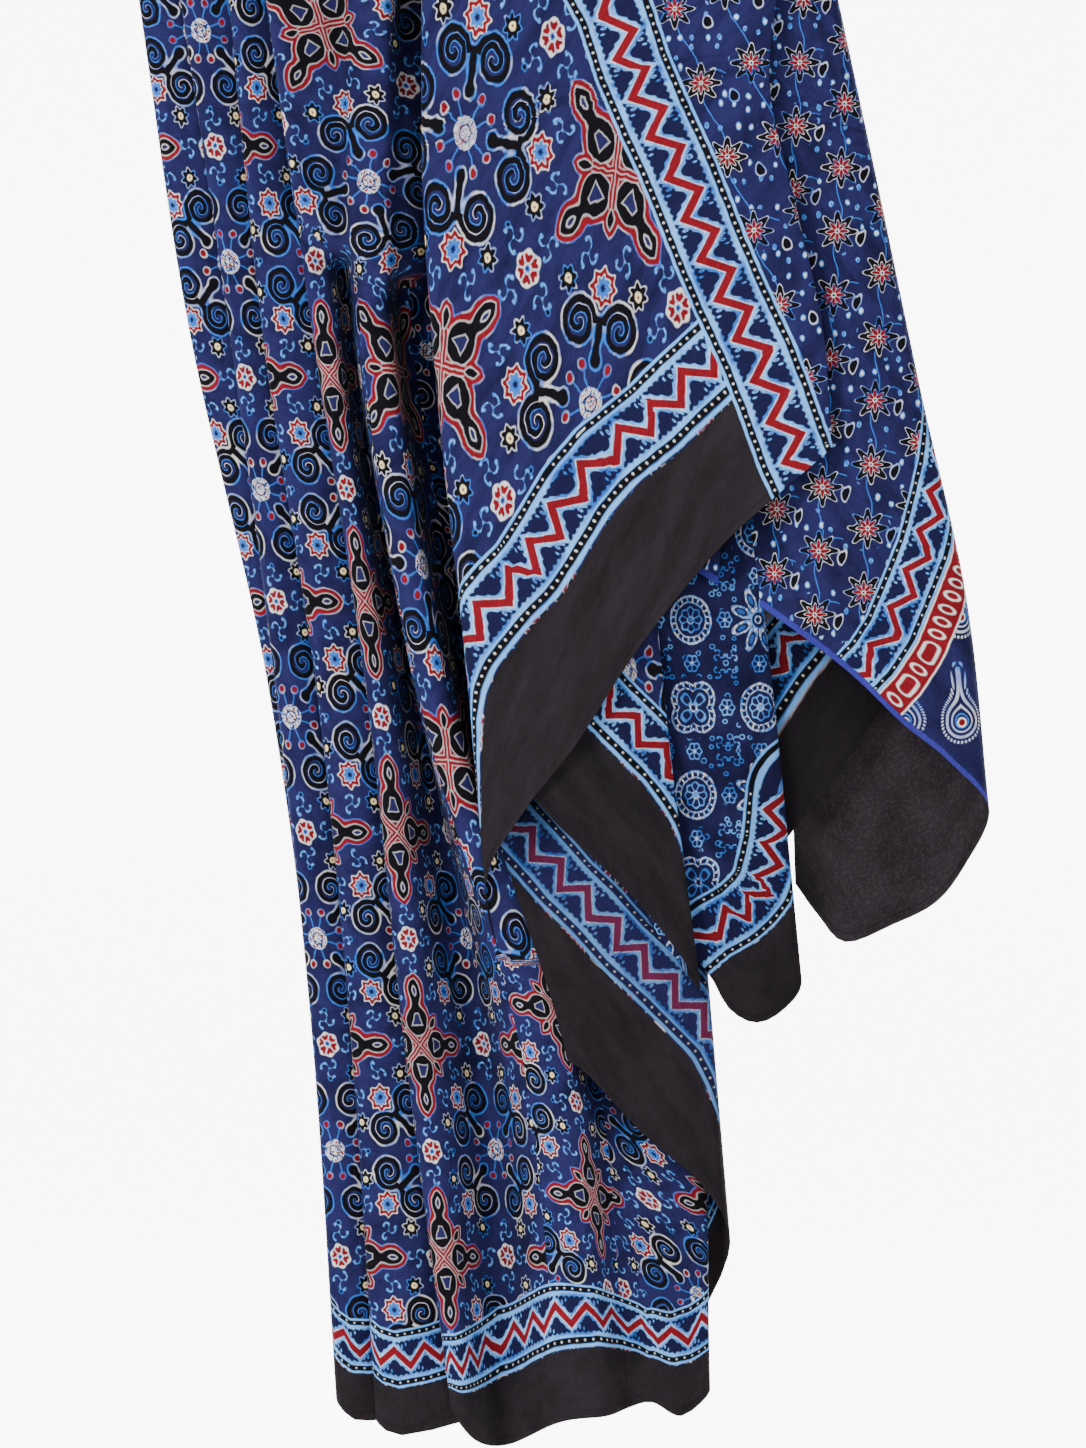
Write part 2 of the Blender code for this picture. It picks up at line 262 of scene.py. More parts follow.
def crowded(s, from_fold, to_fold):
    if from_fold and to_fold:
        return mix(s, smooth(s), 0.8)
    if from_fold:
        return s ** FOLD_CROWD
    if to_fold:
        return 1.0 - (1.0 - s) ** FOLD_CROWD
    return s


def run_of(i):
    """The run to which the columns after fold line i belong."""
    return [name for name, row in RUN.items() if INDEX[row["first"]] <= i][-1]


def cloth_grid():
    """Points of the whole cloth in mm, rows by columns, with each column's run and place."""
    t = np.linspace(0.0, 1.0, ROWS_DOWN + 1)
    t = t - ROWS_CROWD * np.sin(2.0 * math.pi * t)
    points = np.stack([line_points(line, t) for line in LINES], axis=1)
    last = len(LINES) - 1
    order = np.arange(last + 1)
    before = points[:, np.maximum(order - 1, 0)]
    after = points[:, np.minimum(order + 1, last)]
    half = np.where((order > 0) & (order < last), 0.5, 1.0)
    slope = (after - before) * half[None, :, None]
    for i, kind in enumerate(KINDS):
        if kind != "flat":
            slope[:, i, 0] = 0.0
            slope[:, i, 1] = FOLD_ROUND * (after[:, i, 1] - before[:, i, 1])
    columns = []
    places = []
    for i in range(last):
        parts = max(1, int(round(LINES[i]["parts"] * RUN[run_of(i)]["finer"])))
        for step in range(parts):
            f = crowded(step / parts, KINDS[i] != "flat", KINDS[i + 1] != "flat")
            columns.append(hermite(points[:, i], points[:, i + 1], slope[:, i], slope[:, i + 1], f))
            places.append(i + f)
    columns.append(points[:, last])
    places.append(float(last))
    return np.stack(columns, axis=1), np.array(places)


# Width of the repeat of the pleats' print, and length of one zigzag along their hem, in mm
PLEAT_WIDTH = 150.0
PLEAT_PERIOD = 27.0

# Rows of the pleats' print, by the drop at which each lies
PLEAT_ROWS = ((-45, -3), (140, -2), (325, -1), (505, 0), (690, 1), (860, 2), (1030, 3), (1200, 4))

# Fold line on which each pleat's print is set, and its place across the repeat there
PLEAT_COLUMNS = ("name", "line", "place", "offset")
PLEAT_PLACES = (
    ("back", "k_seven", 0.0, 0.0),
    ("strip", "s_edge", -0.75, 8.0),
    ("pleat_one", "p_one_face", -0.5, -6.0),
    ("pleat_two", "p_two_face", 0.25, 0.0),
    ("pleat_three", "p_three_face", 1.0, -8.0),
    ("hidden", "skirt_tuck", 0.0, 0.0),
    ("hidden_two", "b_return", 0.0, 0.0),
)

# Upright repeats: a wheel's place, then one step across and one step down the cloth
UPRIGHT_COLUMNS = ("name", "line", "x", "down", "across_x", "across_down", "step_x", "step_down")
UPRIGHT_PLACES = (
    ("panel", "b_three", -62, 132, 120, 31, -20, 185),
    ("roll", "roll_face", -94, 476, 120, 10, 17, 156),
    ("cowl", "roll_edge", -139, 170, 126, -30, 47, 125),
    ("inner", "f_three", 66, 560, 118, 0, 0, 170),
    ("reverse", "g_two", 30, 600, 118, 0, 0, 170),
)

# The skirt's repeat: a wheel's place, its lean and rise and a cell's size, then how much of a cell
# the crease above takes up, and the drop below which the roll carries this repeat too
SKIRT_WHEEL = {"x": -3.0, "down": 1051.0, "lean": -0.216, "rise": 0.08, "width": 125.0, "height": 148.0}
SKIRT_TAKEN_UP = {"share": 0.44, "down": 900.0, "reach": 150.0}
SKIRT_FROM = 792.0

# The repeat of the paisley drops on the end cloth
DROPS = {"x": 335.0, "down": 590.0, "width": 46.0, "height": 84.0}

# Depth of the plain hem band and of the border above it at fold lines of the pleats and skirt, in mm
HEM_COLUMNS = ("name", "band", "border")
HEM_WIDTHS = (
    ("k_seven", 46, 38),
    ("s_edge", 42, 36),
    ("p_one_tuck", 42, 36),
    ("p_two_edge", 42, 38),
    ("p_two_tuck", 42, 38),
    ("p_three_edge", 15, 36),
    ("p_three_face", 40, 41),
    ("valley", 62, 45),
    ("roll_edge", 63, 44),
    ("roll_face", 63, 38),
    ("gap", 53, 34),
    ("skirt_one", 40, 32),
    ("skirt_two", 46, 36),
    ("skirt_edge", 37, 41),
    ("under", 60, 40),
)

# Lower line of each slanting border, across and down in mm, with the border's and band's depth
GUIDES = {
    "panel_hem": ((200, 290), (152, 332), (126, 356), (106, 376), (86, 392), (66, 408), (46, 432), (22, 472),
                  (6, 496), (-14, 516), (-34, 540), (-46, 556), (-54, 576), (-58, 600), (-60, 632), (-62, 680)),
    "panel_slant": ((6, -20), (21, 24), (32, 44), (47, 90), (66, 134), (81, 166), (94, 198), (109, 236),
                    (124, 271), (147, 320), (160, 353), (177, 400), (186, 419), (196, 442)),
    "end_slant": ((312, 0), (312, 300), (310, 340), (306, 364), (302, 394), (295, 423), (286, 456), (275, 484),
                  (260, 520), (248, 538), (231, 556), (214, 576)),
    "reverse_hem": ((-62, 670), (-33, 705), (-17, 722), (4, 746), (26, 767), (50, 794), (76, 818), (100, 842),
                    (124, 866), (137, 892), (148, 920)),
    "inner_hem": ((-4, 560), (20, 580), (39, 602), (54, 616), (70, 632), (86, 648), (98, 664), (108, 680),
                  (118, 704), (124, 730)),
    "medallion_hem": ((212, 660), (208, 700), (203, 722), (200, 734), (195, 746), (184, 760), (168, 774),
                      (147, 786), (131, 800), (118, 812), (104, 826)),
    "inner_band_hem": ((262, 490), (246, 512), (234, 530), (219, 550), (208, 562), (198, 578), (190, 590),
                       (176, 612), (160, 640)),
}
EDGE_COLUMNS = ("run", "guide", "line", "border", "band", "period")
EDGE_GUIDES = (
    ("panel", "panel_hem", "b_three", 52.0, 84.0, 35.0),
    ("reverse", "reverse_hem", "g_two", 44.0, 60.0, 33.0),
    ("inner", "inner_hem", "f_three", 42.0, 60.0, 33.0),
    ("medallion", "medallion_hem", "e_three", 46.0, 40.0, 30.0),
    ("inner_band", "inner_band_hem", "d_two", 44.0, 90.0, 32.0),
)
SLANT_GUIDES = (
    ("panel", "panel_slant", "b_three", 53.0, 84.0, 35.0),
    ("end", "end_slant", "c_five", 38.0, 60.0, 32.0),
)

# Repeats of the star fields and of the medallions: where one flower lies, and two steps from it
STAR_COLUMNS = ("run", "line", "x", "down", "across_x", "across_down", "step_x", "step_down")
STAR_PLACES = (
    ("panel", "b_three", 126, 92, 40, -16, 21, 59),
    ("end", "c_five", 205, 75, 39, -18, -3, 51),
    ("medallion", "e_three", 120, 590, 54, 0, 2, 70),
)


def along_guide(points, x, down):
    """Distance along a guide line and the signed distance from it, to the left of its run."""
    line = np.array(points, float)
    a = line[:-1]
    b = line[1:]
    run = b - a
    size = np.linalg.norm(run, axis=1)
    start = np.concatenate([[0.0], np.cumsum(size)[:-1]])
    place = np.stack([x.ravel(), down.ravel()], axis=1)
    best = np.full(len(place), 1e9)
    along = np.zeros(len(place))
    away = np.zeros(len(place))
    for k in range(len(a)):
        rel = place - a[k]
        share = np.clip(rel @ run[k] / size[k] ** 2, 0.0, 1.0)
        foot = a[k] + share[:, None] * run[k]
        distance = np.linalg.norm(place - foot, axis=1)
        near = distance < best
        side = np.sign(run[k][0] * rel[:, 1] - run[k][1] * rel[:, 0])
        best = np.where(near, distance, best)
        along = np.where(near, start[k] + share * size[k], along)
        away = np.where(near, side * distance, away)
    return along.reshape(x.shape), away.reshape(x.shape)


def pleat_row(down):
    return np.interp(down, *zip(*PLEAT_ROWS))


def turned(place_across, place_down):
    """A repeat that lies on the bias: tile places from places across and down the pleat."""
    return place_across + place_down, place_across - place_down


def at_line(values, places, name):
    """One value for each row, at a fold line."""
    i = int(np.argmin(np.abs(places - INDEX[name])))
    return values[:, i:i + 1]


def print_maps(grid, places):
    """Tile, border, slant and star places at every point for every run."""
    across = grid[:, :, 0]
    down = -grid[:, :, 2]
    step = np.linalg.norm(np.diff(grid[:, :, :2], axis=1), axis=2)
    arc = np.concatenate([np.zeros((len(grid), 1)), np.cumsum(step, axis=1)], axis=1)

    def unrolled(name, way=1.0):
        return at_line(across, places, name) + way * (arc - at_line(arc, places, name))

    def steps(row, x, y):
        """Places on a slanting repeat, counted along its two steps."""
        x = x - row["x"]
        y = y - row["down"]
        area = row["across_x"] * row["step_down"] - row["across_down"] * row["step_x"]
        return ((x * row["step_down"] - y * row["step_x"]) / area,
                (y * row["across_x"] - x * row["across_down"]) / area)

    hem = rows_of(HEM_COLUMNS, HEM_WIDTHS)
    band, border = [np.interp(places, [INDEX[row["name"]] for row in hem], [row[key] for row in hem])
                    for key in ("band", "border")]
    from_hem = down[-1:, :] - down
    plain_edge = np.where(from_hem < band, from_hem / band, 1.0 + (from_hem - band) / border)
    hem_run = np.concatenate([[0.0], np.cumsum(np.linalg.norm(np.diff(grid[-1], axis=0), axis=1))])
    plain_along = np.broadcast_to(hem_run[None, :] / PLEAT_PERIOD, down.shape)

    maps = {}
    for name in RUN:
        maps[name] = {
            "field": (np.zeros_like(down), np.zeros_like(down)),
            "edge": (plain_along, plain_edge),
            "slant": (np.zeros_like(down), np.full_like(down, -9.0)),
            "star": (np.zeros_like(down), np.zeros_like(down)),
            "hem": (from_hem, arc),
        }
    for row in rows_of(PLEAT_COLUMNS, PLEAT_PLACES):
        u = (unrolled(row["line"]) - at_line(across, places, row["line"]) - row["offset"]) / PLEAT_WIDTH
        maps[row["name"]]["field"] = turned(u + row["place"], pleat_row(down))
    upright = {}
    for row in rows_of(UPRIGHT_COLUMNS, UPRIGHT_PLACES):
        way = -1.0 if row["name"] == "reverse" else 1.0
        tile_x, tile_y = steps(row, unrolled(row["line"], way), down)
        upright[row["name"]] = (tile_x + 1.0, tile_y)
    for name in ("panel", "roll", "inner", "reverse"):
        maps[name]["field"] = upright[name]
    below = down - SKIRT_WHEEL["down"]
    low = {}
    for name, line in (("roll", "roll_face"), ("skirt", "skirt_one")):
        u = (unrolled(line) - SKIRT_WHEEL["x"] + SKIRT_WHEEL["lean"] * below) / SKIRT_WHEEL["width"] + 0.5
        v = (below - SKIRT_WHEEL["rise"] * (unrolled(line) - SKIRT_WHEEL["x"])) / SKIRT_WHEEL["height"]
        if name == "skirt":
            past = (down - SKIRT_TAKEN_UP["down"]) / SKIRT_TAKEN_UP["reach"]
            u = u + SKIRT_TAKEN_UP["share"] * (1.0 - smooth(past))
        low[name] = turned(u, v + 0.5)
    maps["skirt"]["field"] = low["skirt"]
    maps["roll"]["field"] = tuple(np.where(down > SKIRT_FROM, s, r)
                                  for s, r in zip(low["roll"], upright["roll"]))
    for name in ("pleat_three", "roll", "skirt"):
        maps[name]["star"] = upright["cowl"]
        maps[name]["slant"] = (np.zeros_like(down), cowl_edge_drop(across) - down + 2.0)
    for row in rows_of(EDGE_COLUMNS, EDGE_GUIDES):
        way = -1.0 if row["run"] == "reverse" else 1.0
        along, away = along_guide(GUIDES[row["guide"]], unrolled(row["line"], way), down)
        if row["guide"] in ("reverse_hem", "inner_hem"):
            away = -away
        depth = np.where(away > 0.0, away / row["border"], away / row["band"])
        maps[row["run"]]["edge"] = (along / row["period"], 1.0 + depth)
    for row in rows_of(EDGE_COLUMNS, SLANT_GUIDES):
        along, away = along_guide(GUIDES[row["guide"]], unrolled(row["line"]), down)
        maps[row["run"]]["slant"] = (along / row["period"], -away / row["border"])
    maps["end"]["field"] = ((unrolled("c_five") - DROPS["x"]) / DROPS["width"] + 0.5,
                            (down - DROPS["down"]) / DROPS["height"] + 0.5)
    for row in rows_of(STAR_COLUMNS, STAR_PLACES):
        maps[row["run"]]["star"] = steps(row, unrolled(row["line"]), down)
    return maps


# Soft creases and slow unevenness of the hung cloth, in mm
CREASE_COLUMNS = ("run", "x0", "down0", "x1", "down1", "width", "depth")
CREASES = (
    ("panel", -30, 540, 26, 612, 7, 1.6),
    ("panel", 26, 612, -44, 700, 9, -1.8),
    ("panel", 60, 470, 130, 400, 12, -1.6),
    ("panel", 20, 520, 70, 470, 14, 1.4),
    ("panel", -50, 330, -62, 600, 9, 2.2),
    ("panel", 150, 120, 205, 330, 16, 2.4),
    ("panel", 120, 40, 160, 150, 14, -1.8),
    ("panel", -40, 60, -10, 300, 30, 1.6),
    ("end", 209, 388, 178, 508, 12, -5.0),
    ("end", 235, 60, 262, 300, 16, 2.2),
    ("end", 206, 60, 226, 330, 12, -2.6),
    ("end", 262, 300, 250, 480, 14, 2.2),
    ("skirt", 40, 900, 92, 1060, 10, 3.0),
    ("skirt", 10, 930, 50, 1080, 12, -2.4),
    ("skirt", 84, 1120, 60, 1140, 12, 2.6),
    ("roll", -20, 1120, -44, 1178, 12, -3.0),
    ("roll", 0, 1150, -26, 1176, 10, 3.0),
    ("reverse", 40, 800, 100, 900, 14, 2.0),
    ("inner", 20, 600, 90, 700, 10, -1.6),
    ("medallion", 150, 560, 168, 790, 10, 2.4),
    ("flap", 240, 620, 300, 700, 16, 2.0),
    ("roll", -170, 150, -120, 175, 12, -3.0),
)


def crease_rise(run, x, down):
    total = np.zeros_like(x)
    for row in rows_of(CREASE_COLUMNS, CREASES):
        if row["run"] != run:
            continue
        ax, ay, bx, by = row["x0"], row["down0"], row["x1"], row["down1"]
        size = math.hypot(bx - ax, by - ay)
        share = ((x - ax) * (bx - ax) + (down - ay) * (by - ay)) / size ** 2
        share = np.clip(share, 0.0, 1.0)
        far = np.hypot(x - ax - share * (bx - ax), down - ay - share * (by - ay))
        taper = np.sin(math.pi * (0.12 + 0.76 * share))
        total += row["depth"] * taper * np.exp(-(far / row["width"]) ** 2)
    return total


def slow_waves(x, down, phase):
    return (0.9 * np.sin(x / 23.0 + down / 170.0 + phase) * np.sin(down / 140.0 + 1.7 * phase)
            + 0.5 * np.sin(x / 11.0 - down / 90.0 + 2.3 * phase) * np.sin(down / 63.0 + phase))


# How far away a fold that stands higher still takes light, and the spacing of the levels looked at, in mm
REACH = 60.0
LEVELS = 20.0


def line_openness(x, y, one, other, there):
    """How freely light comes to each point of one line, in front or behind, past both its sides."""
    gap = x[:, None] - x[None, :]
    ahead = y[:, None] - y[None, :]
    found = []
    for way in (1.0, -1.0):
        total = 0.0
        for side, weight in ((1.0, one), (-1.0, other)):
            near = (gap * side > 0.6) & (gap * side < REACH) & there[None, :]
            steep = np.where(near, way * ahead / np.maximum(gap * side, 0.6), 0.0).max(axis=1)
            steep = np.maximum(steep, 0.0)
            total = total + weight * (1.0 - steep / np.sqrt(1.0 + steep * steep))
        found.append(total)
    return np.maximum(found[0], found[1])


def openness(grid):
    """From 0 deep in a fold to 1 on open cloth, across the folds and from above, softened a little; it sets the
    painted shade.
    """
    rows, count = grid.shape[:2]
    down = -grid[:, :, 2]
    levels = np.arange(0.0, down.max() + LEVELS, LEVELS)
    x, y = [np.stack([np.interp(levels, down[:, k], grid[:, k, axis]) for k in range(count)], axis=1)
            for axis in (0, 1)]
    there = levels[:, None] <= down[-1:, :] + 8.0
    level = np.array([line_openness(x[j], y[j], 0.5, 0.5, there[j]) for j in range(len(levels))])
    across = np.stack([np.interp(down[:, k], levels, level[:, k]) for k in range(count)], axis=1)
    whole = np.ones(rows, bool)
    upright = np.array([line_openness(grid[:, k, 2], grid[:, k, 1], 0.3, 0.7, whole)
                        for k in range(0, count, 4)])
    columns = np.arange(0, count, 4)
    upright = np.stack([np.interp(np.arange(count), columns, upright[:, r]) for r in range(rows)])
    light = across * upright
    for axis in (0, 0, 1, 1):
        near = 0.5 * light + 0.25 * (np.roll(light, 1, axis) + np.roll(light, -1, axis))
        light[1:-1, 1:-1] = near[1:-1, 1:-1]
    return light


def grid_normals(grid):
    down = np.gradient(grid, axis=0)
    along = np.gradient(grid, axis=1)
    n = np.cross(down, along)
    return n / np.maximum(np.linalg.norm(n, axis=2, keepdims=True), 1e-9)


def placed(name, data):
    """An object of this name in the scene."""
    obj = bpy.data.objects.new(name, data)
    bpy.context.scene.collection.objects.link(obj)
    return obj


def build_cloth(prints):
    grid, places = cloth_grid()
    maps = print_maps(grid, places)
    runs = [run_of(min(int(p + 1e-6), len(LINES) - 2)) for p in places]
    facing = grid_normals(grid)
    rise = np.zeros(grid.shape[:2])
    down = -grid[:, :, 2]
    for k, name in enumerate(dict.fromkeys(runs)):
        own = np.array([run == name for run in runs])
        rise[:, own] += crease_rise(name, grid[:, own, 0], down[:, own])
        rise[:, own] += slow_waves(grid[:, own, 0], down[:, own], 1.3 * k)
    folds = np.array([i for i, kind in enumerate(KINDS) if kind != "flat"])
    calm = smooth(np.abs(places[:, None] - folds[None, :]).min(axis=1) / 0.8)
    grid = grid + facing * (rise * calm[None, :])[:, :, None]
    # Painted shade: how open each point lies to light, with each run's painted shade from the layers before it,
    # goes into the fold map that darkens the print's colour
    light = openness(grid)
    for name in maps:
        maps[name]["fold"] = (light, np.full_like(light, RUN[name]["shade"]))
    rows, count = grid.shape[:2]
    mesh = bpy.data.meshes.new("printed_cloth")
    j, i = np.meshgrid(np.arange(rows - 1), np.arange(count - 1), indexing="ij")
    a = (j * count + i).ravel()
    quads = np.stack([a, a + count, a + count + 1, a + 1], axis=1)
    mesh.vertices.add(rows * count)
    mesh.vertices.foreach_set("co", (grid.reshape(-1, 3) * MM).ravel())
    mesh.loops.add(quads.size)
    mesh.loops.foreach_set("vertex_index", quads.ravel())
    mesh.polygons.add(len(quads))
    mesh.polygons.foreach_set("loop_start", np.arange(len(quads)) * 4)
    mesh.update(calc_edges=True)
    mesh.validate()
    mesh.polygons.foreach_set("use_smooth", np.ones(len(quads), bool))
    slots = {}
    for name in dict.fromkeys(row["print"] for row in RUN.values()):
        slots[name] = len(mesh.materials)
        mesh.materials.append(prints[name])
    face_run = np.array([runs[k] for k in i.ravel()])
    mesh.polygons.foreach_set("material_index", np.array([slots[RUN[r]["print"]] for r in face_run], np.int32))
    for layer in ("field", "edge", "slant", "star", "hem", "fold"):
        uv = np.zeros((len(quads), 4, 2))
        for name in dict.fromkeys(runs):
            own = face_run == name
            u, v = maps[name][layer]
            flat = np.stack([u.ravel(), v.ravel()], axis=1)
            uv[own] = flat[quads[own]]
        mesh.uv_layers.new(name=layer).data.foreach_set("uv", uv.ravel())
    return placed("printed_cloth", mesh)


# Node helpers: numbers and colours that are worked out by the material's own nodes
class Tree:
    nodes = None
    links = None


def link_in(socket, value):
    if isinstance(value, Value):
        value = value.socket
    if isinstance(value, bpy.types.NodeSocket):
        Tree.links.new(value, socket)
    elif isinstance(value, tuple):
        socket.default_value = value + (1.0,)
    else:
        socket.default_value = value


class Value:
    """A number from a node, on which the usual signs work."""

    def __init__(self, socket):
        self.socket = socket

    def __add__(self, other):
        return number("ADD", self, other)

    def __sub__(self, other):
        return number("SUBTRACT", self, other)

    def __rsub__(self, other):
        return number("SUBTRACT", other, self)

    def __mul__(self, other):
        return number("MULTIPLY", self, other)


def number(operation, *values, held=False):
    node = Tree.nodes.new("ShaderNodeMath")
    node.operation = operation
    node.use_clamp = held
    for socket, value in zip(node.inputs, values):
        link_in(socket, value)
    return Value(node.outputs[0])


absolute = partial(number, "ABSOLUTE")
above = partial(number, "GREATER_THAN")
angle = partial(number, "ARCTAN2")
cosine = partial(number, "COSINE")
maximum = partial(number, "MAXIMUM")
minimum = partial(number, "MINIMUM")
part = partial(number, "FRACT")
sine = partial(number, "SINE")
smooth_least = partial(number, "SMOOTH_MIN")


def ramp(value, slope, start):
    return number("MULTIPLY_ADD", value, slope, start, held=True)


def nearest(value):
    return number("FLOOR", value + 0.5)


def from_half(value):
    """Distance to the nearest place halfway between two whole numbers."""
    return absolute(part(value) - 0.5)


def length(x, y):
    return number("SQRT", number("MULTIPLY_ADD", x, x, y * y))


def paint(under, mask, over):
    """The colour over, laid on the colour under where the mask is 1."""
    node = Tree.nodes.new("ShaderNodeMix")
    node.data_type = "RGBA"
    link_in(node.inputs["Factor"], mask)
    link_in([s for s in node.inputs if s.name == "A" and s.type == "RGBA"][0], under)
    link_in([s for s in node.inputs if s.name == "B" and s.type == "RGBA"][0], over)
    return [s for s in node.outputs if s.type == "RGBA"][0]


def blend(under, over, mask):
    return paint(under, mask, over)


def scaled(colour, value):
    """The colour made darker or lighter by a number."""
    node = Tree.nodes.new("ShaderNodeVectorMath")
    node.operation = "SCALE"
    link_in(node.inputs["Vector"], colour)
    link_in(node.inputs["Scale"], value)
    return node.outputs[0]


def split(socket):
    """The three numbers of a vector or a colour."""
    node = Tree.nodes.new("ShaderNodeSeparateXYZ")
    Tree.links.new(socket, node.inputs[0])
    return [Value(out) for out in node.outputs]


def set_inputs(node, values):
    for name, value in values.items():
        node.inputs[name].default_value = value


def uv_values(name):
    node = Tree.nodes.new("ShaderNodeUVMap")
    node.uv_map = name
    return split(node.outputs[0])[:2]


def joined(x, y):
    node = Tree.nodes.new("ShaderNodeCombineXYZ")
    link_in(node.inputs[0], x)
    link_in(node.inputs[1], y)
    return node.outputs[0]


def noise(vector, scale, detail=2.0, rough=0.5):
    """Noise in two dimensions: its value, and two more from its colour, about 0 to 1."""
    node = Tree.nodes.new("ShaderNodeTexNoise")
    node.noise_dimensions = "2D"
    Tree.links.new(vector, node.inputs["Vector"])
    set_inputs(node, {"Scale": scale, "Detail": detail, "Roughness": rough})
    return [Value(node.outputs[0])] + split(node.outputs["Color"])[1:]


def pebbles(x, y, scale):
    """Distance to the nearest of many loosely scattered points, and a random number for it."""
    node = Tree.nodes.new("ShaderNodeTexVoronoi")
    node.voronoi_dimensions = "2D"
    set_inputs(node, {"Scale": scale, "Randomness": 0.75})
    Tree.links.new(joined(x, y), node.inputs["Vector"])
    return Value(node.outputs["Distance"]), split(node.outputs["Color"])[0]


# Colours of the dyes, and of the painted light that shows through the thin flap, as linear red, green and blue
INDIGO = (0.0130, 0.0130, 0.0600)
INDIGO_DEEP = (0.0072, 0.0074, 0.0340)
BLACK = (0.0042, 0.0036, 0.0050)
BAND = (0.0150, 0.0122, 0.0148)
BAND_DARK = (0.0088, 0.0072, 0.0088)
RED = (0.150, 0.0062, 0.0110)
SKY = (0.022, 0.115, 0.44)
PALE = (0.13, 0.34, 0.72)
WHITE = (0.58, 0.56, 0.55)
CREAM = (0.74, 0.62, 0.34)
FINE_WHITE = (0.42, 0.41, 0.42)
HEM_BLUE = (0.028, 0.026, 0.200)
SEE_THROUGH_LIGHT = (0.045, 0.038, 0.040)

# Shares of a repeat by which the blocks lie out of true, and measures of a circle and a square
WOBBLE = 0.016
STAR_WOBBLE = 0.03
MEDALLION_WOBBLE = 0.02
WHOLE_TURN = 6.2832
QUARTER_TURN = 1.571
DIAGONAL = 0.7071


def cover(d, soft=0.004):
    """How much of the surface an edge at distance d covers: 1 inside, 0 outside."""
    return ramp(d, -0.5 / soft, 0.5)


def inside(d, half, soft=0.004):
    """Cover of a line whose middle is at d = 0."""
    return cover(absolute(d) - half, soft)


def layers(p, mask, *shapes):
    """Paints shapes one over another, each given by its distance and colour, where the mask is 1."""
    for distance, colour in shapes:
        p = paint(p, cover(distance) if mask is None else cover(distance) * mask, colour)
    return p


def capsule(x, y, start, end, radius):
    """Distance to a rounded bar along x."""
    return length(x - minimum(maximum(x, start), end), y) - radius


def tendrils(x, y, size, half):
    """Distance to three hooked tendrils that grow from one foot, with a bead at each end."""
    r = length(x, y)
    third = (part(angle(y, x) * (3.0 / WHOLE_TURN)) - 0.5) * (WHOLE_TURN / 3.0)
    u = r * cosine(third)
    v = r * sine(third)
    bow = maximum(absolute(length(u - size, v) - size), v * -1.0)
    bead = length(u - size * 1.9, v - size * 0.05) - half * 0.9
    return minimum(bow, bead) - half


def rosette(p, r, turn):
    """A red star with a sky-blue flower and a dark middle."""
    wave = cosine(turn * 8.0)
    star = r - (wave * 0.010 + absolute(wave) * 0.004 + 0.072)
    flower = r - (wave * 0.007 + 0.045)
    return layers(p, None, (star - 0.008, WHITE), (star, RED), (flower - 0.005, WHITE), (flower, SKY),
                  (r - (wave * 0.004 + 0.016), INDIGO_DEEP))


def dark_flower(p, r, turn, outline):
    """A small black flower with a cream middle."""
    petals = r - (cosine(turn * 7.0) * 0.010 + 0.050)
    return layers(p, None, (petals - 0.008, outline), (petals, BLACK), (r - 0.021, CREAM), (r - 0.007, RED))


def heart_flower(p, r, turn):
    """Six red heart petals on a white ground, with a blue star between them."""
    whole = r - (cosine(turn * 6.0) * -0.006 + 0.080)
    gap = absolute(sine(turn * 3.0)) * r
    petal = maximum(r - (cosine(turn * 12.0) * -0.005 + 0.064), gap * -0.8 + 0.011)
    p = layers(p, None, (whole, WHITE), (maximum(petal, r * -1.0 + 0.026), RED))
    p = paint(p, maximum(cover(gap - 0.0045) * cover(r - 0.076), cover(r - 0.017)), SKY)
    return layers(p, None, (r - 0.009, INDIGO))


def leaf(x, y, half, bulge):
    """Distance to a leaf pointed at both ends of x, given half its width."""
    return length(x, absolute(y) + bulge) - (half + bulge)


def cross_block(p, hi, lo, here, outline):
    """The four-limbed block: limbs on the bias, a lens on each axis and a fine cross between."""
    m = (hi + lo) * DIAGONAL
    n = (hi - lo) * DIAGONAL
    body = length((m - 0.165) * 0.92, n) - 0.090
    neck = capsule(m, n, 0.24, 0.33, 0.022)
    limb = smooth_least(smooth_least(body, neck, 0.06), leaf(m - 0.360, n, 0.050, 0.050), 0.05)
    lens = leaf(hi - 0.205, lo, 0.020, 0.045)
    rim = smooth_least(limb, lens + 0.004, 0.02)
    cell = maximum(maximum(m * -1.0 + 0.132, m - 0.208), n + (m - 0.165) * 0.34 - 0.029)
    eye = leaf(m - 0.362, n, 0.012, 0.030)
    p = layers(p, here, (rim - 0.036, outline), (rim - 0.031, RED), (rim - 0.005, FINE_WHITE), (limb, BLACK),
               (cell - 0.005, FINE_WHITE), (cell, INDIGO), (eye - 0.007, FINE_WHITE), (eye, INDIGO))
    near = cover(hi - 0.160) * here
    p = layers(p, near, (lo - 0.025, FINE_WHITE), (lo - 0.021, RED), (lo - 0.002, FINE_WHITE))
    return layers(p, here, (lens - 0.005, FINE_WHITE), (lens, BLACK))


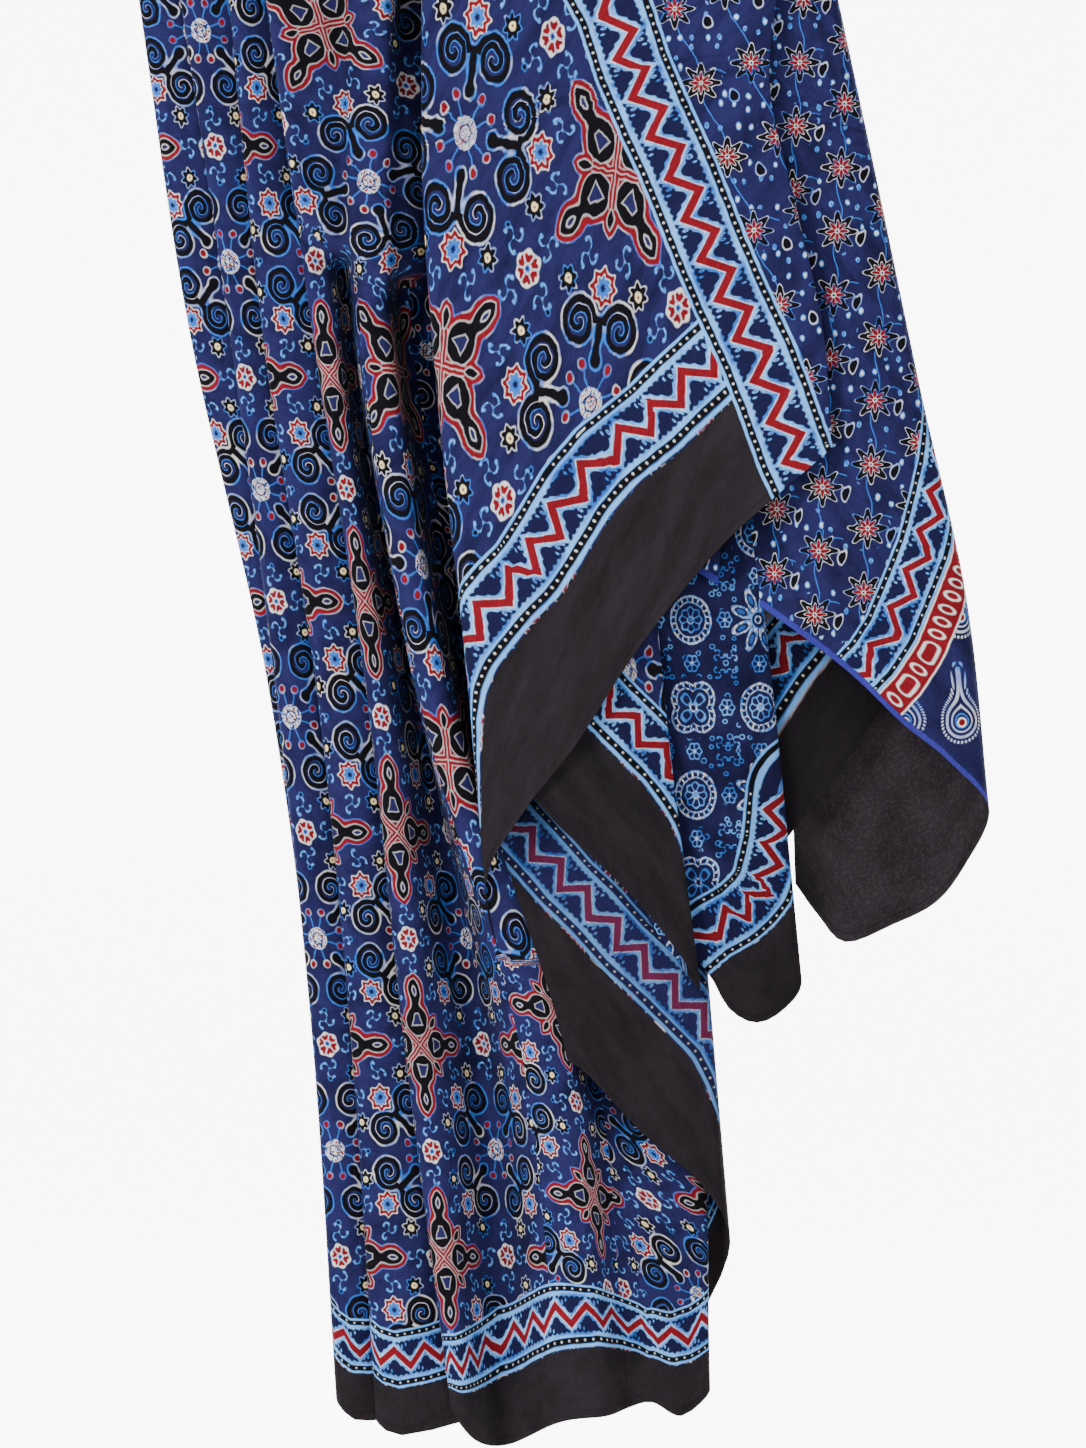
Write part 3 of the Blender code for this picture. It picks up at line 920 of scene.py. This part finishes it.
def wheel_block(p, hi, lo, here, outline, mottle):
    """The four-armed block: a clubbed stem on each axis that splits into two scrolls."""
    dx = hi - 0.335
    dy = lo - 0.136
    r = length(dx, dy)
    wind = part((angle(dy, dx) + 1.50) * (1.0 / WHOLE_TURN))
    disc = r - (wind * -0.036 + 0.126)
    stem = smooth_least(capsule(hi, lo, 0.175, 0.352, 0.022), length(hi - 0.185, lo) - 0.034, 0.03)
    whole = smooth_least(disc, stem, 0.050)
    p = layers(p, here, (whole - 0.010, outline), (whole, BLACK))
    winding = part(r * (1.0 / 0.062) + wind + 0.54)
    scroll = cover(disc + 0.034) * here
    for middle, slope, start, colour in ((0.20, -16.0, 3.6, INDIGO), (0.02, -16.0, 1.3, outline),
                                         (0.44, -18.0, 1.4, SKY)):
        p = paint(p, scroll * ramp(absolute(winding - middle), slope, start), colour)
    p = layers(p, here, (r - 0.012, INDIGO))
    away = length(hi, lo)
    drop_x = hi * 0.883 + lo * 0.469 - 0.185
    drop_y = lo * 0.883 - hi * 0.469
    drop = length(drop_x, drop_y) - 0.020 + drop_x * 0.28
    p = paint(p, inside(hi * 0.469 - lo * 0.883, 0.004) * cover(away - 0.16) * here, SKY)
    heart = blend(SKY, WHITE, ramp(mottle, 3.0, -0.6))
    p = layers(p, here, (drop - 0.006, outline), (drop, RED), (away - 0.074, heart))
    p = paint(p, inside(away - 0.038, 0.005) * here, INDIGO)
    p = paint(p, cover(away - 0.070) * here * ramp(mottle, 5.0, -3.4), RED)
    return paint(p, cover(away - 0.072) * here * ramp(mottle, -5.0, 1.3), INDIGO)


def body_print(x, y, dye):
    """The main print: crosses and wheels in turn, with rosettes, small flowers and curls between."""
    x = x + dye.wobble_x * WOBBLE
    y = y + dye.wobble_y * WOBBLE
    cell_x = nearest(x)
    cell_y = nearest(y)
    a = absolute(x - cell_x)
    b = absolute(y - cell_y)
    hi = maximum(a, b)
    lo = minimum(a, b)
    wheel = part((cell_x + cell_y) * 0.5) * 2.0
    outline = blend(WHITE, SKY, ramp(dye.fade, 2.4, -0.5))
    p = blend(INDIGO_DEEP, INDIGO, ramp(dye.fade, 1.4, 0.1))

    # Places measured from the nearest middle of a cell's side, along the side and off it
    s = nearest(x + y - 0.5) + 0.5
    t = nearest(x - y - 0.5) + 0.5
    mid_x = x - (s + t) * 0.5
    mid_y = y - (s - t) * 0.5
    lies = part((s + t) * 0.5) * 2.0
    along = mid_x + (mid_y - mid_x) * lies
    off = mid_y + (mid_x - mid_y) * lies

    # Sky-blue curls, beside the crosses and off the corners of the wheels
    fold_along = absolute(along)
    fold_off = absolute(off)
    c_one = tendrils((fold_along - 0.118) * 1.15, (fold_off - 0.130) * 0.85, 0.030, 0.0052)
    corner_x = from_half(x)
    corner_y = from_half(y)
    across = (corner_x - corner_y) * DIAGONAL
    outward = (corner_x + corner_y) * DIAGONAL
    c_two = tendrils(across, outward - 0.160, 0.032, 0.0054)
    bud = length(across, outward - 0.228) - 0.012
    p = layers(p, None, (minimum(c_one, c_two), blend(SKY, PALE, dye.mottle)), (bud - 0.006, SKY), (bud, BLACK))

    # A rosette in the middle of each side, small flowers beside it and a heart flower at each corner
    p = rosette(p, length(along, off), angle(off, along))
    flower_x = fold_along - 0.232
    p = dark_flower(p, length(flower_x, off), angle(off, flower_x), outline)
    p = heart_flower(p, length(corner_x, corner_y), angle(corner_y, corner_x))
    p = cross_block(p, hi, lo, wheel * -1.0 + 1.0, outline)
    return wheel_block(p, hi, lo, wheel, outline, dye.mottle)


def ladder(s):
    """A saw that climbs and falls between -1 and 1, once in each period."""
    return 1.0 - from_half(s) * 4.0


def border_print(p, s, d, width, beads, dye):
    """The striped border where d is 0 to 1: beads, scalloped triangles and a red zigzag."""
    off_middle = absolute(d - 0.5)
    here = cover(off_middle - 0.595, 0.010)
    p = paint(p, here, blend(SKY, PALE, ramp(dye.fade, 2.2, -0.5)))
    off = (d - 0.5) - ladder(s) * 0.185
    off_line = absolute(off)
    scallop = absolute(sine(s * 18.85)) * 0.035
    tooth = off_line * -1.0 + 0.205 - scallop
    rim = off_middle - 0.335 - scallop * 0.9
    side = above(off, 0.0) * 0.5
    u = part(s + side + 0.25) - 0.5
    v = off_middle - 0.235
    sprig = length(u * 1.6, v * 1.1) - 0.052
    lobes = minimum(length(absolute(u) * 1.5 - 0.19, v - 0.045) - 0.034, sprig)
    dark = maximum(maximum(tooth, rim), lobes * -1.0)
    p = paint(p, cover(dark, 0.016) * here, INDIGO_DEEP)
    p = paint(p, cover(sprig + 0.030, 0.012) * here, INDIGO)
    p = paint(p, cover(off_line - 0.108 - scallop * 0.5, 0.012) * here, blend(PALE, WHITE, dye.mottle))
    p = paint(p, cover(off_line - 0.092, 0.012) * here, RED)
    edge = absolute(off_middle - 0.500)
    p = paint(p, cover(absolute(edge - 0.078) - 0.018, 0.010), PALE)
    p = paint(p, cover(edge - 0.052, 0.010), BLACK)
    bead = length((part(s * beads) - 0.5) * (width / beads), edge) - 0.017
    return paint(p, cover(bead, 0.010), WHITE)


def star_print(lean, dye):
    """Outlined eight-petal flowers joined by thin lines, with scattered dots and black ovals."""
    x, y = uv_values("star")
    x = x + dye.wobble_x * STAR_WOBBLE
    y = y + dye.wobble_y * STAR_WOBBLE
    p = blend(INDIGO_DEEP, INDIGO, ramp(dye.fade, 1.4, 0.05))
    du = x - nearest(x)
    dv = y - nearest(y)
    u = du * lean[0] + dv * lean[1]
    v = du * lean[2] + dv * lean[3]
    r = length(u, v)
    turn = angle(v, u)
    blue = blend(SKY, PALE, ramp(dye.mottle, 1.6, -0.5))
    p = paint(p, inside(du + sine(dv * WHOLE_TURN) * 0.07, 0.010, 0.006), SKY)
    p = paint(p, inside(dv + sine(du * WHOLE_TURN) * 0.10, 0.008, 0.006) * above(du, 0.0), SKY)
    spread_x = x * lean[0] + y * lean[1]
    spread_y = x * lean[2] + y * lean[3]
    near, chance = pebbles(spread_x, spread_y * 0.72, 4.6)
    dot = near - (chance * 0.07 + 0.13)
    dots = cover(0.36 - r, 0.01) * above(chance, 0.16)
    p = paint(p, cover(dot, 0.025) * dots, blue)
    p = paint(p, cover(dot + 0.075, 0.025) * dots, blend(SKY, WHITE, above(chance, 0.55)))
    seed_u = absolute(du) - 0.5
    seed_v = dv - 0.30
    seed = length((seed_u * lean[0] + seed_v * lean[1]) * 1.5, seed_u * lean[2] + seed_v * lean[3])
    p = layers(p, None, (seed - 0.122, blend(WHITE, SKY, dye.fade)), (seed - 0.092, BLACK))
    ripple = cosine(turn * 8.0)
    outer = r - (ripple * 0.070 + absolute(ripple) * 0.020 + 0.225)
    line = blend(WHITE, SKY, ramp(dye.fade, 1.6, -0.3))
    p = layers(p, None, (outer - 0.018, line), (outer, BLACK))
    rib = absolute(sine(turn * 4.0 + QUARTER_TURN)) * r
    p = paint(p, cover(rib - 0.010) * cover(r - 0.20), line)
    inner = r - (ripple * 0.045 + absolute(ripple) * 0.012 + 0.115)
    p = layers(p, None, (inner - 0.016, line), (inner, RED))
    p = paint(p, cover(rib - 0.008) * cover(r - 0.12), WHITE)
    return layers(p, None, (r - 0.036, WHITE), (r - 0.020, INDIGO))


def medallion_print(dye):
    """Four-lobed and round beaded medallions in turn, small flowers and thin tendrils between."""
    x, y = uv_values("star")
    x = x + dye.wobble_x * MEDALLION_WOBBLE
    y = y + dye.wobble_y * MEDALLION_WOBBLE
    p = blend(INDIGO_DEEP, INDIGO, ramp(dye.fade, 1.2, -0.2))
    blue = blend(SKY, PALE, ramp(dye.fade, 1.8, -0.6))
    light = blend(blue, WHITE, ramp(dye.mottle, 1.8, -0.6))
    column = nearest(x)
    row = nearest(y)
    u = x - column
    v = (y - row) * 1.10
    r = length(u, v)
    turn = angle(v, u)
    odd = part((column + row) * 0.5) * 2.0
    even = 1.0 - odd
    petal_kind = part(row * 0.5) * 2.0 * even
    lobed = even - petal_kind
    rim = r - (absolute(cosine(turn * 2.0 + QUARTER_TURN)) * 0.085 * lobed + odd * 0.02 + 0.275)
    ring = inside(rim, 0.014) + inside(rim + 0.075, 0.009)
    spokes = inside((part(turn * (20.0 / WHOLE_TURN)) - 0.5) * 0.10, 0.014) * inside(rim + 0.035, 0.030)
    ring = maximum(ring, spokes) * (1.0 - petal_kind)
    p = paint(p, ring, light)
    core = inside(r - (cosine(turn * 8.0) * 0.012 + 0.150), 0.011) * odd
    core = maximum(core, inside((part(turn * (8.0 / WHOLE_TURN)) - 0.5) * r, 0.010) * cover(r - 0.15) * odd)
    p = paint(p, core, blue)
    fold = absolute(sine(turn * 2.0))
    sprig = length((r - 0.135) * 0.55, (1.0 - fold) * r * 0.9) - 0.040
    p = paint(p, inside(sprig, 0.011) * lobed, blue)
    rays = (part(turn * (8.0 / WHOLE_TURN)) - 0.5) * r * 0.74
    long_petal = length((r - 0.265) * 0.42, rays) - 0.056
    p = paint(p, inside(long_petal, 0.012) * petal_kind, light)
    p = paint(p, cover(long_petal + 0.030) * petal_kind, blend(SKY, INDIGO, 0.35))
    p = paint(p, inside(r - 0.105, 0.010) * petal_kind, blue)
    p = paint(p, inside(r - 0.045, 0.010), light)

    # Small flowers at the sides of the cells, each between two curled tendrils
    side = above(absolute(x - column), absolute(y - row))
    a = from_half(x) * side + (x - column) * (1.0 - side)
    b = (y - row) * side + from_half(y) * (1.0 - side)
    b = b * 1.10
    small = length(a, b)
    swing = angle(b, a)
    flower = small - (cosine(swing * 6.0) * 0.010 + 0.098)
    p = paint(p, inside(flower, 0.011), blue)
    p = paint(p, inside((part(swing * (6.0 / WHOLE_TURN)) - 0.5) * small, 0.008) * cover(small - 0.10), blue)
    p = paint(p, cover(small - 0.026), light)
    near, chance = pebbles(x, y * 1.32, 5.2)
    free = cover(0.40 - r, 0.01) * cover(0.14 - small, 0.01)
    p = paint(p, inside(near - chance * 0.10 - 0.10, 0.045, 0.02) * free * above(chance, 0.30), blue)
    return layers(p, None, (tendrils(from_half(x) - 0.10, from_half(y) * 1.32 - 0.13, 0.046, 0.010), blue))


def paisley_print(dye):
    """Upright paisley drops on indigo: a beaded outline, an inner outline and a red eye."""
    x, y = uv_values("field")
    p = blend(INDIGO_DEEP, INDIGO, dye.fade)
    u = part(x) - 0.5 + absolute(part(y) - 0.62) * 0.16
    v = (part(y) - 0.5) * 1.7
    drop = smooth_least(length(u, v - 0.22) - 0.26, capsule(v, u, -0.62, 0.0, 0.02), 0.42)
    blue = blend(WHITE, SKY, dye.fade)
    p = paint(p, inside(drop, 0.022), blue)
    turn = angle(v - 0.1, u)
    beads = from_half(turn * (22.0 / WHOLE_TURN)) * 0.16
    p = paint(p, cover(length(beads - 0.04, drop - 0.085) - 0.026), blue)
    p = paint(p, inside(drop + 0.085, 0.014), blue)
    p = paint(p, inside(drop + 0.15, 0.012), SKY)
    eye = length(u, v - 0.24)
    return layers(p, None, (eye - 0.085, WHITE), (eye - 0.055, RED))


class Dye:
    """How the printing varies over the cloth: height above the hem, fading, mottling and wobble."""

    def __init__(self, from_hem, run):
        on_cloth = joined(run, from_hem)
        wobble_x, wobble_y = noise(on_cloth, 0.085, 1.5, 0.5)[1:]
        self.from_hem = from_hem
        self.fade = ramp(noise(on_cloth, 0.028, 3.0, 0.6)[0], 2.2, -0.6)
        self.mottle = ramp(noise(on_cloth, 0.35, 1.0, 0.5)[0], 2.4, -0.7)
        self.wobble_x = (wobble_x - 0.5) * 1.3
        self.wobble_y = (wobble_y - 0.5) * 1.3

    def seam(self, height, waver):
        """Distance to a line at a height above the hem."""
        return self.from_hem - height + self.mottle * waver


# How light the painted shade leaves the deepest folds, and the faint sheen of the cotton
PAINTED_SHADE_DEEPEST = 0.22
SHEEN = 0.015


# Materials: one for each way the cloth is printed
def cloth_material(name, printed, roughness):
    """A soft cotton with the given print, a fine weave, uneven dye and painted shade in the folds and on the
    layers behind.
    """
    material = bpy.data.materials.new(name)
    material.use_nodes = True
    tree = material.node_tree
    tree.nodes.clear()
    Tree.nodes = tree.nodes
    Tree.links = tree.links
    from_hem, run = uv_values("hem")
    dye = Dye(from_hem, run)
    colour = printed(dye)
    warp = noise(joined(run * 1.3, from_hem * 0.12), 1.0, 1.0)[0]
    weft = noise(joined(run * 0.12, from_hem * 1.3), 1.0, 1.0)[0]
    threads = ramp(warp + weft, 1.0, -0.5)
    # Painted shade: the fold map darkens the colour deep in folds and on the runs that hang behind others
    open_share, shade = uv_values("fold")
    fold = ramp(open_share, 1.75, -0.08)
    fold = (fold * (2.0 - fold) * (1.0 - PAINTED_SHADE_DEEPEST) + PAINTED_SHADE_DEEPEST) * shade
    colour = scaled(colour, (ramp(threads, 0.55, 0.40) + ramp(dye.fade, 0.22, 0.20)) * fold)
    shader = tree.nodes.new("ShaderNodeBsdfPrincipled")
    link_in(shader.inputs["Base Color"], colour)
    set_inputs(shader, {"Roughness": roughness, "Sheen Weight": SHEEN, "Sheen Roughness": 0.5,
                        "Specular IOR Level": 0.03})
    bump = tree.nodes.new("ShaderNodeBump")
    set_inputs(bump, {"Strength": 0.35, "Distance": 0.0005})
    link_in(bump.inputs["Height"], threads + dye.mottle * 0.4)
    tree.links.new(bump.outputs[0], shader.inputs["Normal"])
    out = tree.nodes.new("ShaderNodeOutputMaterial")
    tree.links.new(shader.outputs[0], out.inputs[0])
    return material


def band_look(dye):
    """The plain hem band, nearly black, with the fold of its narrow hem."""
    colour = blend(BAND_DARK, BAND, ramp(dye.fade, 0.7, 0.45))
    return paint(colour, inside(dye.seam(6.5, 0.5), 0.35, 0.5) * 0.6, BLACK)


def with_hem(p, dye, width, beads):
    """Lays the border and the hem band over the print."""
    s, d = uv_values("edge")
    d = d + dye.wobble_y * WOBBLE
    p = border_print(p, s, d - 1.0, width, beads, dye)
    return paint(p, cover(d - 0.885, 0.012), band_look(dye))


def body_look(dye):
    """The main print, which lies another way on the cowl."""
    x, y = uv_values("field")
    cowl_x, cowl_y = uv_values("star")
    cowl = above(uv_values("slant")[1], 0.0)
    x = x + (cowl_x - x) * cowl
    y = y + (cowl_y - y) * cowl
    return with_hem(body_print(x, y, dye), dye, 0.62, 4.0)


def panel_look(dye):
    """The front panel: the main print, the slanting border and the star field past it."""
    p = with_hem(body_print(*uv_values("field"), dye), dye, 0.67, 5.0)
    s, d = uv_values("slant")
    p = paint(p, cover(0.5 - d, 0.01), star_print(PANEL_LEAN, dye))
    return border_print(p, s, d + dye.wobble_x * WOBBLE, 0.67, 5.0, dye)


def end_look(dye):
    """The end cloth: stars, border, red chain and paisley drops, with a blue hem."""
    s, d = uv_values("slant")
    d = d + dye.wobble_x * WOBBLE
    p = paint(star_print(END_LEAN, dye), cover(1.0 - d, 0.01), paisley_print(dye))
    chain = d - 1.45
    p = paint(p, inside(chain, 0.34, 0.012), WHITE)
    p = paint(p, inside(chain, 0.30, 0.012), RED)
    oval = length((part(s * 3.0) - 0.5) * 0.32, chain * 0.5) - 0.085
    p = paint(p, inside(oval, 0.018, 0.010), WHITE)
    p = border_print(p, s, d, 0.8, 4.0, dye)
    hem = dye.seam(7.0, 0.8)
    p = paint(p, cover(hem, 0.5), HEM_BLUE)
    return paint(p, inside(hem, 0.5, 0.5) * 0.6, INDIGO_DEEP)


def medallion_look(dye):
    return with_hem(medallion_print(dye), dye, 0.66, 4.0)


def reverse_look(dye):
    """The main print, seen duller from its reverse, above the plain band."""
    p = with_hem(body_print(*uv_values("field"), dye), dye, 0.66, 4.0)
    d = uv_values("edge")[1]
    return paint(p, cover(0.9 - d, 0.01) * 0.5, INDIGO)


def sheer_look(dye):
    """The thin dark flap, mottled by its uneven weave, with painted light in the lighter patches as if the
    backdrop showed through it.
    """
    colour = blend(BAND_DARK, BAND, ramp(dye.fade, 0.9, 0.35))
    # Lighter mottled patches: painted light, as if the bright backdrop showed through the thin cloth
    colour = blend(colour, SEE_THROUGH_LIGHT, ramp(dye.mottle, 1.0, -0.4) * 0.35)
    return paint(colour, inside(dye.seam(7.5, 0.5), 0.5, 0.5) * 0.7, BLACK)


PANEL_LEAN, END_LEAN = [[row[key] / 50.0 for key in ("across_x", "step_x", "across_down", "step_down")]
                        for row in rows_of(STAR_COLUMNS, STAR_PLACES)[:2]]
LOOKS = (
    ("body", "resist_print", body_look, 0.82),
    ("panel", "panel_print", panel_look, 0.80),
    ("end", "end_print", end_look, 0.80),
    ("medallion", "medallion_print", medallion_look, 0.82),
    ("reverse", "reverse_print", reverse_look, 0.85),
    ("band", "plain_band", band_look, 0.85),
    ("sheer", "thin_plain", sheer_look, 0.80),
)
prints = {name: cloth_material(title, look, roughness) for name, title, look, roughness in LOOKS}

cloth = build_cloth(prints)
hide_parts("cloth")
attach(cloth, "root")


# Floor, lights and camera: the backdrop stands beyond the circle on which the other views are taken
HALF_WIDE = 45.0
FLOOR_Z = -1.95
FLOOR_END = 15.0
BEND = 1.5
WALL_TOP = 36.0


def stage_material(name, glow):
    material = bpy.data.materials.new(name)
    material.use_nodes = True
    shader = material.node_tree.nodes["Principled BSDF"]
    set_inputs(shader, {"Base Color": (0.94, 0.94, 0.94, 1.0), "Roughness": 0.9,
                        "Emission Color": (1.0, 1.0, 1.0, 1.0), "Emission Strength": glow})
    return material


def stage_strip(name, profile, glow):
    """A wide pale strip swept along a side view given as (y, z) points."""
    mesh = bmesh.new()
    rows = [[mesh.verts.new((x, y, z)) for x in (-HALF_WIDE, HALF_WIDE)] for y, z in profile]
    for a, b in zip(rows, rows[1:]):
        mesh.faces.new((a[0], a[1], b[1], b[0])).smooth = True
    data = bpy.data.meshes.new(name)
    mesh.to_mesh(data)
    mesh.free()
    data.materials.append(stage_material(name, glow))
    placed(name, data)


def soft_light(name, place, aim, size, power):
    lamp = bpy.data.lights.new(name, "AREA")
    lamp.shape = "SQUARE"
    lamp.size = size
    lamp.energy = power
    obj = placed(name, lamp)
    obj.location = place
    obj.rotation_euler = (Vector(aim) - Vector(place)).to_track_quat("-Z", "Y").to_euler()


bend = [(FLOOR_END + BEND * math.sin(a), FLOOR_Z + BEND - BEND * math.cos(a))
        for a in np.linspace(0.0, math.pi / 2, 14)]
stage_strip("floor", [(-HALF_WIDE, FLOOR_Z), (FLOOR_END, FLOOR_Z)], 0.0)
stage_strip("backdrop", bend + [(FLOOR_END + BEND, WALL_TOP)], 7.0)
world = bpy.data.worlds.new("studio")
bpy.context.scene.world = world
world.use_nodes = True
set_inputs(world.node_tree.nodes["Background"], {"Color": (1.0, 1.0, 1.0, 1.0), "Strength": 0.24})
soft_light("key", (-2.6, -2.9, 1.1), (0.0, 0.0, -0.55), 1.0, 205.0)
soft_light("front", (0.6, -5.0, 0.2), (0.0, 0.0, -0.6), 1.4, 68.0)
soft_light("side", (3.0, -2.2, 0.0), (0.1, 0.0, -0.7), 1.2, 30.0)

# The camera looks square on, and its frame is this tall at this distance
FRAME_TALL = 1.1584
FRAME_AWAY = 13.97
camera = bpy.data.cameras.new("camera")
camera.sensor_fit = "VERTICAL"
camera.sensor_height = 36.0
camera.lens = 36.0 * FRAME_AWAY / FRAME_TALL
camera.clip_end = 40.0
view = placed("camera", camera)
view.location = (0.0, -14.0, -0.6032)
view.rotation_euler = (math.pi / 2, 0.0, 0.0)
bpy.context.scene.camera = view
